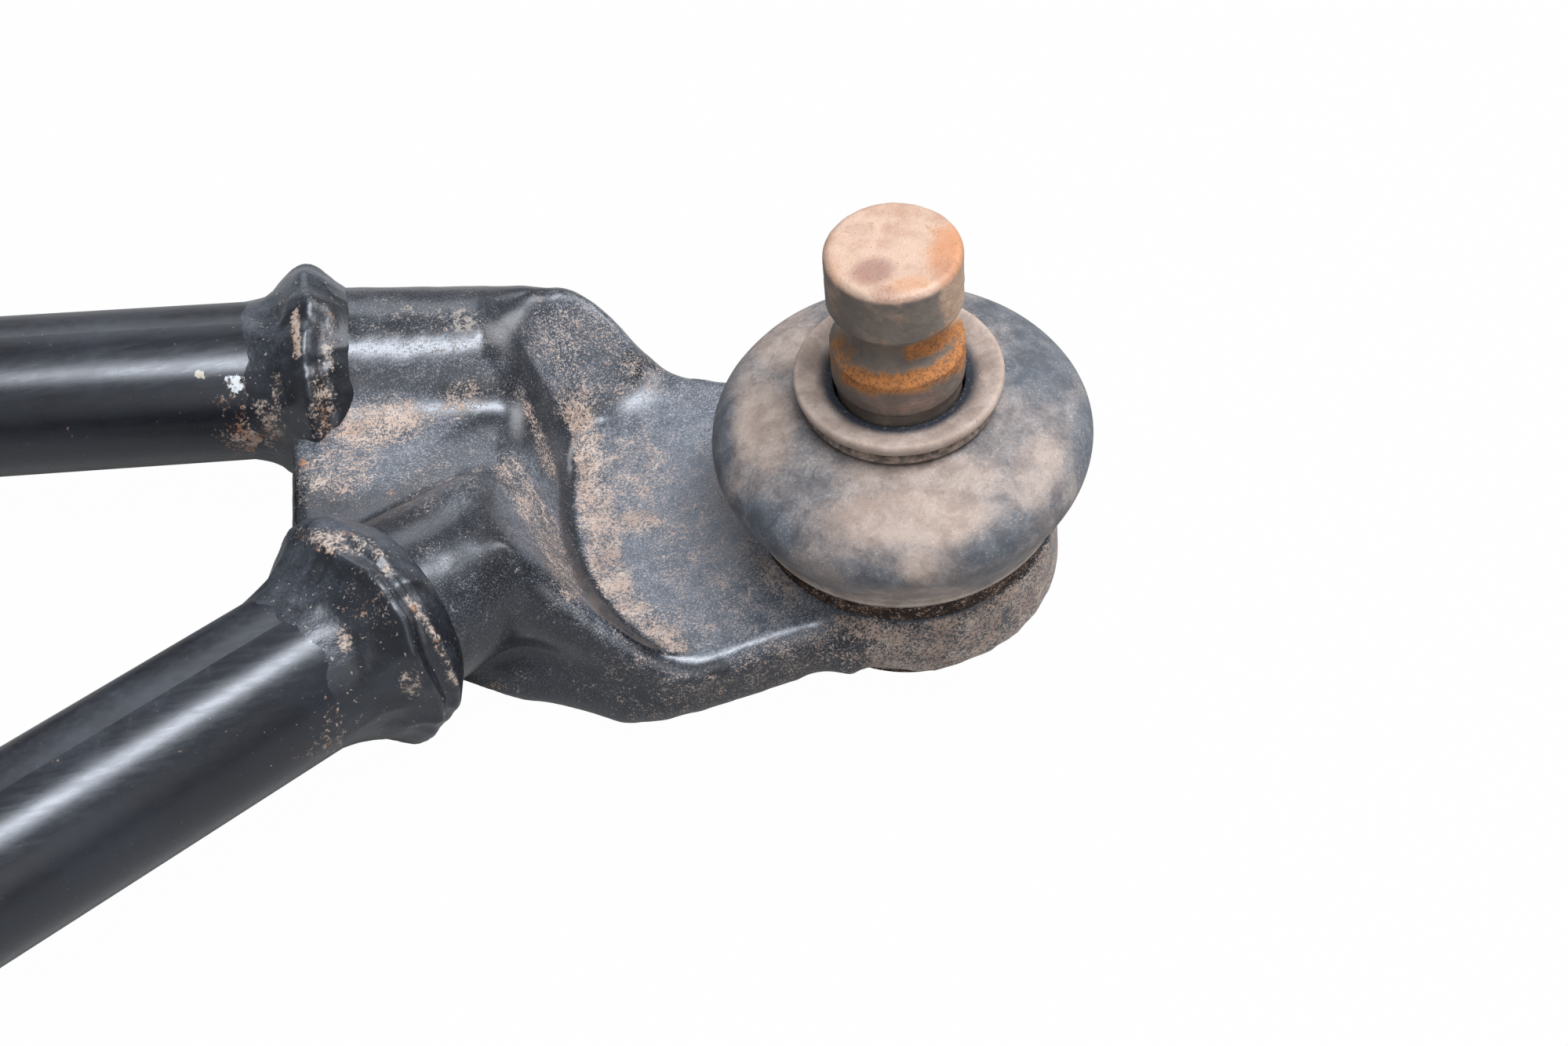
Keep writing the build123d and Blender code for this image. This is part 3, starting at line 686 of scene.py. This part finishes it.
# Where dust, haze and scuffs lie on the forging, and the crease kept dark as painted shade, as the
# camera sees them
DUST_PATCHES = (
    (815, 665, 50, 24, 0, 0.72), (808, 600, 80, 70, 0, 0.50), (815, 480, 50, 38, 0, 0.42),
    (735, 515, 34, 48, 0, 0.56), (715, 430, 62, 58, 0, 0.42), (930, 690, 150, 170, 0, 0.36),
    (985, 735, 30, 62, -42, 0.62), (480, 540, 102, 40, -8, 0.78), (430, 600, 78, 44, -20, 0.56),
    (590, 505, 50, 30, -25, 0.42), (420, 692, 62, 18, 15, 0.56), (612, 882, 42, 13, -15, 0.7),
    (560, 610, 90, 50, -30, 0.24), (890, 800, 90, 34, 12, 0.36), (560, 440, 120, 60, 0, 0.16),
)
DUST_STREAKS = (
    (44, 0.76, (
        (735, 535), (745, 600), (765, 660), (770, 720), (790, 770), (820, 805), (856, 828),
    )),
    (30, 0.58, ((650, 600), (680, 650), (708, 700), (732, 748))),
    (15, 0.50, ((666, 505), (688, 555), (702, 600))),
    (15, 0.56, ((405, 395), (416, 450), (412, 520))),
)
# The crease at the foot of the shoulder, kept dark as painted shade
CREASE_SHADE_STREAKS = (
    (19, 1.0, ((648, 436), (668, 470), (692, 508), (714, 556), (724, 604))),
    (15, 0.95, (
        (724, 604), (723, 650), (728, 692), (746, 740), (776, 782), (814, 816), (848, 840),
        (920, 852),
    )),
)
HAZE_PATCHES = (
    (900, 660, 260, 260, 0, 0.80), (740, 450, 110, 110, 0, 0.55), (470, 560, 150, 90, -10, 0.62),
    (590, 600, 110, 70, -30, 0.36), (680, 650, 60, 120, -25, 0.55), (560, 470, 150, 30, 0, 0.34),
    (560, 760, 90, 120, 40, 0.22), (520, 395, 160, 40, 0, 0.26), (800, 900, 200, 50, -10, 0.3),
)
SCUFFS = (
    (515, 400, 26, 20, -25, 1.0), (592, 408, 24, 38, 0, 1.0), (463, 407, 8, 8, 0, 1.0),
    (560, 392, 12, 8, 0, 0.9),
)
ORANGE = (
    (410, 556, 22, 14, -10, 1.0), (384, 590, 12, 10, 0, 0.9), (500, 627, 11, 9, 0, 1.0),
    (620, 880, 26, 9, -15, 0.9), (686, 880, 9, 7, 0, 0.9), (770, 690, 14, 12, 0, 0.5),
    (440, 545, 50, 24, -8, 0.45), (655, 560, 8, 12, 0, 0.6),
)


# Welds

LEG_HEIGHT = -36.5
LEG_MEETING = np.array([7.9, 32.3, LEG_HEIGHT])
PIVOT_X, PIVOT_Y = -330.0, 104.5
# A bead's points round and along its leg, and the radius of its hidden inner face
BEAD_SEGMENTS, BEAD_ROWS = 240, 44
BEAD_INSIDE = 10.0
# How far and over what size a bead wanders along its leg, and the size and height of its lumps
WANDER_SIZE, WANDER = 9.0, 1.3
RIDGE_SIZE, RIDGE, SINK = 5.5, 0.44, 0.30
SWELL_SIZE, SWELL = 8.0, 0.38
GRAIN_SIZE, GRAIN = 2.2, 0.14
# A fold's width, and the distance, width and share of the roll beside it
FOLD_WIDTH = 1.05
ROLL_AWAY, ROLL_WIDTH, ROLL_SHARE = 2.4, 1.0, 0.45


def leg_direction(side):
    step = np.array([PIVOT_X, side * PIVOT_Y, LEG_HEIGHT]) - LEG_MEETING
    return step / np.linalg.norm(step)


def weld_ring(name, side, place, profile, seed, fold_place, fold_depth):
    """A lumpy bead round a leg, place millimetres from where the legs meet.

    profile is (distance along the leg, radius) from the knuckle's end to the pivot's.
    """
    along = leg_direction(side)
    up = np.array([0.0, 0.0, 1.0])
    across = np.cross(up, along)
    outer = smooth_curve(profile, BEAD_ROWS)
    inner = np.array([(outer[-1][0], BEAD_INSIDE), (outer[0][0], BEAD_INSIDE)])
    ring = np.vstack([outer, inner])
    points = []
    for s in range(BEAD_SEGMENTS):
        angle = tau * s / BEAD_SEGMENTS
        direction = up * cos(angle) + across * sin(angle)
        flow = WANDER * fractal(direction * 12.0 + seed, WANDER_SIZE, 2)
        fold = fold_depth * max(0.0, 0.5 * direction[2] - 0.8 * direction[1]) ** 0.7
        for index, (step, radius) in enumerate(ring):
            spot = LEG_MEETING + along * (place + 0.4 * step) + direction * radius
            grow = 0.0
            if index < len(outer):
                share = sin(pi * index / (len(outer) - 1)) ** 0.8
                ridges = 1 - abs(2.2 * fractal(spot + seed, RIDGE_SIZE, 2))
                swell = fractal(spot - seed, SWELL_SIZE, 2)
                grain = fractal(spot, GRAIN_SIZE, 2)
                grow = share * (RIDGE * ridges - SINK + SWELL * swell + GRAIN * grain)
                beside = step - fold_place
                grow -= fold * np.exp(-(beside / FOLD_WIDTH) ** 2)
                grow += ROLL_SHARE * fold * np.exp(-((beside - ROLL_AWAY) / ROLL_WIDTH) ** 2)
                step = step + share * flow
            points.append(LEG_MEETING + along * (place + step) + direction * (radius + grow))
    rows = len(ring)
    faces = []
    for s in range(BEAD_SEGMENTS):
        t = (s + 1) % BEAD_SEGMENTS
        for r in range(rows):
            q = (r + 1) % rows
            faces.append((s * rows + r, t * rows + r, t * rows + q, s * rows + q))
    p = np.array(points)
    obj = new_mesh(name + "_bead", p * MM, faces)
    patches, streaks = WELD_DUST[name]
    set_attribute(obj.data, "dust", marked(p, patches, streaks))
    obj.data.materials.append(weld_material())
    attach(obj, "arm")
    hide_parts(name)


# Dust patches and streaks of each bead
WELD_DUST = {
    "rear_spigot_weld": (
        (
            (410, 520, 26, 60, 0, 0.6), (345, 540, 22, 46, -20, 0.62), (418, 440, 16, 60, 0, 0.5),
            (360, 380, 40, 30, 0, 0.2),
        ),
        ((9, 0.95, ((377, 400), (378, 452))), (12, 0.5, ((352, 480), (350, 560)))),
    ),
    "front_spigot_weld": (
        (
            (425, 690, 66, 22, 15, 0.6), (440, 815, 16, 26, -20, 0.62), (522, 870, 22, 24, 0, 0.56),
            (470, 760, 50, 60, 0, 0.25),
        ),
        ((10, 0.62, ((520, 760), (556, 815), (578, 870))), (12, 0.5, ((468, 690), (500, 730)))),
    ),
}


def welds():
    rear = [
        (-6.4, 11.4), (-5.2, 12.4), (-3.4, 13.8), (-1.7, 15.4), (0.0, 15.95), (1.4, 15.6),
        (2.6, 14.7), (3.9, 13.4), (5.4, 12.05), (7.2, 11.4), (10.0, 10.9),
    ]
    front = [
        (-6.6, 12.0), (-4.8, 13.7), (-2.8, 15.3), (-1.2, 16.15), (0.0, 16.4), (1.3, 16.0),
        (2.5, 15.1), (4.8, 13.5), (6.6, 12.4), (8.8, 11.65), (12.6, 10.9),
    ]
    weld_ring(
        "rear_spigot_weld", side=1, place=75.0, profile=rear, seed=np.array([3.1, 7.7, 1.3]),
        fold_place=-1.6, fold_depth=0.9,
    )
    weld_ring(
        "front_spigot_weld", side=-1, place=84.5, profile=front, seed=np.array([9.4, 2.2, 5.8]),
        fold_place=-0.6, fold_depth=1.7,
    )


# Rubber boot

BOOT_SEGMENTS = 256
BOOT_WOBBLE_SIZE, BOOT_WOBBLE = 12.0, 0.10
# The lip's edge gets extra dust, partly a painted highlight along its rim
LEAST_BOOT_DUST, LIP_DUST, LIP_EDGE_DUST_AND_HIGHLIGHT, CUFF_DUST = 0.34, 0.86, 0.4, 0.25
LIP_HEIGHT, LIP_RADIUS = -12.3, 14
# Dusty seams round the cuff as (height, width, strength), outside of this radius
SEAMS = ((-30.3, 0.16, 1.0), (-31.7, 0.25, 0.9))
SEAM_RADIUS = 20


def rubber_boot():
    outer = smooth_curve([
        (11.3, -14.2), (14.6, -14.4), (18.9, -15.6), (23.0, -17.7), (25.3, -20.9), (25.1, -24.0),
        (23.5, -27.5), (22.2, -30.0), (21.7, -31.0), (21.75, -31.6), (21.5, -32.4),
    ], 120)
    profile = [
        *smooth_curve([
            (8.6, -11.3), (9.6, -11.0), (10.8, -10.5), (12.0, -9.95), (12.9, -9.7), (13.45, -9.78),
            (13.68, -10.2),
        ], 30),
        *smooth_curve([(13.7, -10.35), (13.66, -10.9), (13.4, -11.35), (12.95, -11.7)], 8),
        *smooth_curve([(12.4, -12.0), (11.6, -12.3), (11.3, -12.9), (11.25, -13.8)], 8),
        *outer,
        *smooth_curve([(21.3, -32.7), (19.0, -32.7), (16.42, -32.69)], 8),
        *line((16.42, -32.4), (16.42, -28.2), 0.8),
        *smooth_curve([
            (16.5, -28.1), (20.2, -27.6), (22.4, -25.0), (23.3, -21.4), (21.6, -19.4),
            (18.0, -17.9), (11.3, -16.6),
        ], 60),
        *line((11.0, -16.5), (8.6, -14.2), 0.6),
        *line((8.6, -14.2), (8.6, -11.3), 0.6),
    ]

    def wobble(angle, radius, height):
        spot = (radius * cos(angle), radius * sin(angle), height)
        uneven = BOOT_WOBBLE * fractal(spot, BOOT_WOBBLE_SIZE, 2) - BOOT_WOBBLE
        return uneven * ease(radius, 13.9, 18.0) * ease(height, -32.0, -27.0)

    obj = turned("dust_boot_rubber", profile, BOOT_SEGMENTS, True, wobble)
    mesh = obj.data
    p = as_points(mesh) / MM
    radius, height = from_stud(p)[1:]
    # Dust comes off where the rubber is wiped, and along its left and right edges as painted shade
    dust = np.maximum(LEAST_BOOT_DUST, marked(p, BOOT_DUST)) - marked(p, BOOT_CLEAN_AND_SHADE)
    dust += CUFF_DUST * (1 - ease(height, -30.6, -29.6))
    lip = (height > LIP_HEIGHT) & (radius < LIP_RADIUS)
    # Paler towards the lip's rim: dust, and partly a painted highlight
    dust[lip] = LIP_DUST + LIP_EDGE_DUST_AND_HIGHLIGHT * ease(radius[lip], 12.9, 13.5)
    # Darker and glossier towards the stud, on the dish that slopes down to it
    wet = lip * (1 - ease(radius, 9.3, 11.2))
    seam = sum(
        strength * np.exp(-((height - level) / width) ** 2) * (radius > SEAM_RADIUS)
        for level, width, strength in SEAMS
    )
    set_attribute(mesh, "dust", dust)
    set_attribute(mesh, "wet", wet)
    set_attribute(mesh, "seam", np.clip(seam, 0, 1))
    mesh.materials.append(boot_material())
    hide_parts("dust_boot")
    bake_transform(obj)


# Where dust lies on the boot, and where it is wiped off, which along the boot's left and right
# edges is painted shade
BOOT_DUST = (
    (970, 540, 60, 90, -15, 0.85), (1160, 660, 160, 58, 0, 0.95), (1320, 600, 50, 80, 25, 0.66),
    (1000, 430, 70, 60, -40, 0.7), (1180, 610, 170, 50, 0, 0.72), (1090, 390, 60, 30, 0, 0.5),
    (1190, 760, 170, 18, 0, 0.7), (1170, 720, 40, 40, 0, 0.8),
)
BOOT_CLEAN_AND_SHADE = (
    (918, 570, 22, 100, 12, 0.5), (974, 670, 56, 36, 40, 0.55), (1270, 690, 70, 36, -30, 0.45),
    (1330, 450, 70, 80, 30, 0.42), (1100, 730, 60, 18, 15, 0.3), (1290, 400, 60, 40, 20, 0.3),
    (1385, 560, 20, 80, 0, 0.4),
)


# Ball stud

STUD_SEGMENTS = 220
STUD_TOP, SHANK_RADIUS, EDGE = 12, 8.7, 1.1
GROOVE_REACH, GROOVE_DEPTH = 4.0, 2.15
SEAL_RADIUS, NECK_RADIUS = 8.2, 6.8
BALL_RADIUS, BALL_HEIGHT, BALL_FOOT = 12.7, -42, -54.0
# Rows this far apart on the shank, which is pitted, and on the smooth neck
SHANK_STEP, NECK_STEP = 0.35, 0.8
PITTED_FROM = -9.0
# Pits as (size, depth), cut off above the first of these heights and sunk by the second
PITS, SMALL_PITS = (4.0, 0.10), (1.2, 0.06)
HIGHEST_PIT, PIT_SINK = 0.04, 0.03


def steel_stud():
    edge = [
        (SHANK_RADIUS - EDGE + EDGE * sin(a), STUD_TOP - EDGE + EDGE * cos(a))
        for a in np.linspace(0.05, pi / 2, 8)
    ]
    groove = [
        (SHANK_RADIUS - GROOVE_DEPTH * cos(pi / 2 * min(1, abs(h) / GROOVE_REACH)) ** 0.9, h)
        for h in np.linspace(GROOVE_REACH, -GROOVE_REACH, 32)
    ]
    ball = [
        (BALL_RADIUS * sin(a), BALL_HEIGHT + BALL_RADIUS * cos(a))
        for a in np.linspace(0.565, 2.80, 40)
    ]
    profile = [
        *line((0.0, STUD_TOP), (7.6, STUD_TOP), SHANK_STEP), *edge,
        *line((SHANK_RADIUS, 10.7), (SHANK_RADIUS, GROOVE_REACH), SHANK_STEP), *groove,
        *line((SHANK_RADIUS, -4.2), (SHANK_RADIUS, -9.2), SHANK_STEP), (8.6, -9.4), (8.2, -9.45),
        *line((SEAL_RADIUS, -9.8), (SEAL_RADIUS, -16.0), NECK_STEP),
        *line((SEAL_RADIUS, -16.0), (NECK_RADIUS, -24.0), NECK_STEP),
        *line((NECK_RADIUS, -24.0), (NECK_RADIUS, -31.2), NECK_STEP),
        *ball, (4.1, BALL_FOOT), (2.0, BALL_FOOT), (0.0, BALL_FOOT),
    ]

    def wobble(angle, radius, height):
        if height < PITTED_FROM:
            return 0.0
        spot = (radius * cos(angle), radius * sin(angle), height)
        worn = sum(depth * fractal(spot, size, 3) for size, depth in (PITS, SMALL_PITS))
        return min(worn, HIGHEST_PIT) - PIT_SINK

    obj = turned("ball_stud_steel", profile, STUD_SEGMENTS, False, wobble)
    mesh = obj.data
    p = as_points(mesh) / MM
    height = from_stud(p)[2]
    top = ease(height, 10.9, 11.5)
    side = (1 - top) * ease(height, -12, -8)
    rust = side * marked(p, STUD_RUST, STUD_RUST_LINES)
    set_attribute(mesh, "rust", rust)
    set_attribute(mesh, "top", top)
    set_attribute(mesh, "tan", np.maximum(0.2, marked(p, STUD_TAN)))
    set_attribute(mesh, "stain", marked(p, STUD_STAINS))
    mesh.materials.append(stud_material())
    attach(obj, "stud")
    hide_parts("ball_stud")


# Where rust, tan and stains lie on the stud
STUD_RUST = (
    (1072, 455, 26, 40, -15, 0.72), (1100, 480, 34, 18, 20, 0.8), (1224, 444, 20, 44, 0, 0.75),
    (1228, 350, 12, 50, 0, 0.34),
)
STUD_RUST_LINES = (
    (23, 1.0, ((1085, 480), (1110, 488), (1140, 490), (1178, 482), (1214, 464), (1234, 440))),
    (18, 0.9, ((1160, 450), (1190, 440), (1214, 426), (1232, 412))),
    (9, 0.6, ((1056, 498), (1080, 522), (1104, 534))),
)
STUD_TAN = (
    (1222, 370, 34, 70, 0, 0.85), (1130, 396, 70, 24, 0, 0.36), (1062, 360, 16, 60, 0, 0.5),
    (1180, 520, 50, 16, 0, 0.3), (1215, 322, 44, 60, 20, 1.0), (1160, 362, 60, 16, -12, 0.6),
)
STUD_STAINS = (
    (1112, 346, 40, 24, -10, 0.9), (1128, 374, 30, 16, 10, 0.6), (1204, 345, 26, 26, 0, 0.5),
    (1095, 292, 30, 14, 0, 0.4), (1150, 512, 110, 24, -4, 0.5),
)


# Carried-over nodes


def repaint():
    """Materials for the CAD shapes that stay: the first key that is in a node's name says which."""
    tube = tube_material()
    spring = plain_material(
        "spring_steel", (0.045, 0.042, 0.04), (0.12, 0.11, 0.10), 0.42, size=1.2, metal=0.7,
        dust=0.15,
    )
    finishes = {
        "tube": tube,
        "sleeve": tube,
        "pivot_weld": plain_material(
            "pivot_weld_paint", PAINT_DARK, (0.03, 0.036, 0.046), 0.35, dust=0.22, bump=0.3,
        ),
        "bush": plain_material(
            "bush_plastic", (0.018, 0.018, 0.02), (0.034, 0.034, 0.037), 0.5, size=1.5, dust=0.1,
        ),
        "collar": plain_material(
            "collar_steel", (0.30, 0.29, 0.27), (0.46, 0.45, 0.43), 0.34, size=1.5, metal=0.85,
            dust=0.05,
        ),
        "shell": grit_material(),
        "cap": plain_material(
            "cap_steel", (0.12, 0.105, 0.095), (0.24, 0.21, 0.19), 0.5, size=1.8, metal=0.6,
            dust=0.22,
        ),
        "race": plain_material("race_plastic", (0.66, 0.64, 0.58), (0.76, 0.74, 0.68), 0.45),
        # Painted shade: the hidden neck ring is dusty brown-grey, the colour of the soft shade in
        # the gap under the lip
        "neck_ring": plain_material(
            "neck_ring_shade_brown", (0.13, 0.105, 0.09), (0.22, 0.18, 0.155), 0.8, size=1.2, dust=0.5,
        ),
        "ring": spring,
    }
    for name, obj in nodes.items():
        if obj.hide_render:
            continue
        for key, material in finishes.items():
            if key in name:
                obj.data.materials.clear()
                obj.data.materials.append(material)
                break


# Camera, light and stage, in metres apart from the sensor's millimetres

SENSOR_WIDTH = 36
NEAR, FAR = 0.01, 20
FLOOR_REACH = 6
FLOOR_GREY = (0.34, 0.34, 0.34)
# How white the camera sees the floor, and how much of that white shines in glossy paint
FLOOR_WHITE, FLOOR_SHINE = 0.985, 0.08
WORLD_COLOUR, WORLD_POWER = (0.93, 0.95, 1.0), 0.35
COOL, WARM = (0.95, 0.97, 1.0), (1.0, 0.985, 0.965)
LIT_PLACE = (-0.03, 0.0, -0.03)
# The key lamp is a strip, seen in the paint as a bright line this way along
STRIP = (0.904, 0.426, 0)


def matrix(x, y, z, place):
    """The matrix of an object at place with its axes along x, y and z."""
    return Matrix((
        (x[0], y[0], z[0], place[0]),
        (x[1], y[1], z[1], place[1]),
        (x[2], y[2], z[2], place[2]),
        (0, 0, 0, 1),
    ))


def camera():
    data = bpy.data.cameras.new("camera")
    obj = bpy.data.objects.new("camera", data)
    bpy.context.scene.collection.objects.link(obj)
    place = Vector(CAMERA_PLACE * MM)
    ahead = Vector(AHEAD).normalized()
    right = Vector(RIGHT)
    right = (right - ahead * right.dot(ahead)).normalized()
    up = right.cross(ahead)
    obj.matrix_world = matrix(right, up, -ahead, place)
    data.sensor_width = SENSOR_WIDTH
    data.lens = SENSOR_WIDTH * FOCUS / PICTURE_WIDTH
    data.clip_start = NEAR
    data.clip_end = FAR
    bpy.context.scene.camera = obj


def area_light(name, place, size, power, colour, along=(1, 0, 0)):
    """A lamp that faces the part, with its first side along a direction."""
    data = bpy.data.lights.new(name, "AREA")
    data.shape = "RECTANGLE"
    data.size, data.size_y = size
    data.energy = power
    data.color = colour
    obj = bpy.data.objects.new(name, data)
    bpy.context.scene.collection.objects.link(obj)
    back = (Vector(place) - Vector(LIT_PLACE)).normalized()
    long = Vector(along)
    long = (long - back * long.dot(back)).normalized()
    wide = back.cross(long)
    obj.matrix_world = matrix(long, wide, back, place)


def stage():
    level = cad_box[0].z
    around = ((-1, -1), (1, -1), (1, 1), (-1, 1))
    corners = [(FLOOR_REACH * x, FLOOR_REACH * y, level) for x, y in around]
    floor = new_mesh("floor", corners, [(0, 1, 2, 3)], smooth=False)
    s = Shader("pale_floor")
    path = s.node("ShaderNodeLightPath")
    seen = s.most(path.outputs["Is Camera Ray"], s.both(path.outputs["Is Glossy Ray"], FLOOR_SHINE))
    matte = s.node("ShaderNodeBsdfDiffuse", {"Color": FLOOR_GREY}).outputs[0]
    white = s.node("ShaderNodeEmission", {"Color": (1, 1, 1), "Strength": 1.0}).outputs[0]
    share = s.both(seen, FLOOR_WHITE)
    mixed = s.node("ShaderNodeMixShader", {0: share, 1: matte, 2: white}).outputs[0]
    output = s.node("ShaderNodeOutputMaterial")
    s.tree.links.new(mixed, output.inputs[0])
    floor.data.materials.append(s.material)
    world = bpy.data.worlds.new("studio")
    bpy.context.scene.world = world
    world.use_nodes = True
    back = world.node_tree.nodes["Background"]
    back.inputs[0].default_value = (*WORLD_COLOUR, 1)
    back.inputs[1].default_value = WORLD_POWER
    area_light("key", (0.06, -0.17, 0.92), size=(0.86, 0.24), power=13.0, colour=COOL, along=STRIP)
    area_light("back", (0.10, 0.75, 0.60), size=(0.6, 0.4), power=1.5, colour=COOL)
    area_light("front", (0.05, -0.85, 0.45), size=(0.8, 0.5), power=1.5, colour=WARM)
    area_light("side", (0.75, 0.1, 0.55), size=(0.4, 0.4), power=3.0, colour=WARM)
    view = bpy.context.scene.view_settings
    view.view_transform = "Standard"
    view.look = "None"
    view.exposure = 0.0


camera()
stage()
forging_skin()
welds()
rubber_boot()
steel_stud()
repaint()
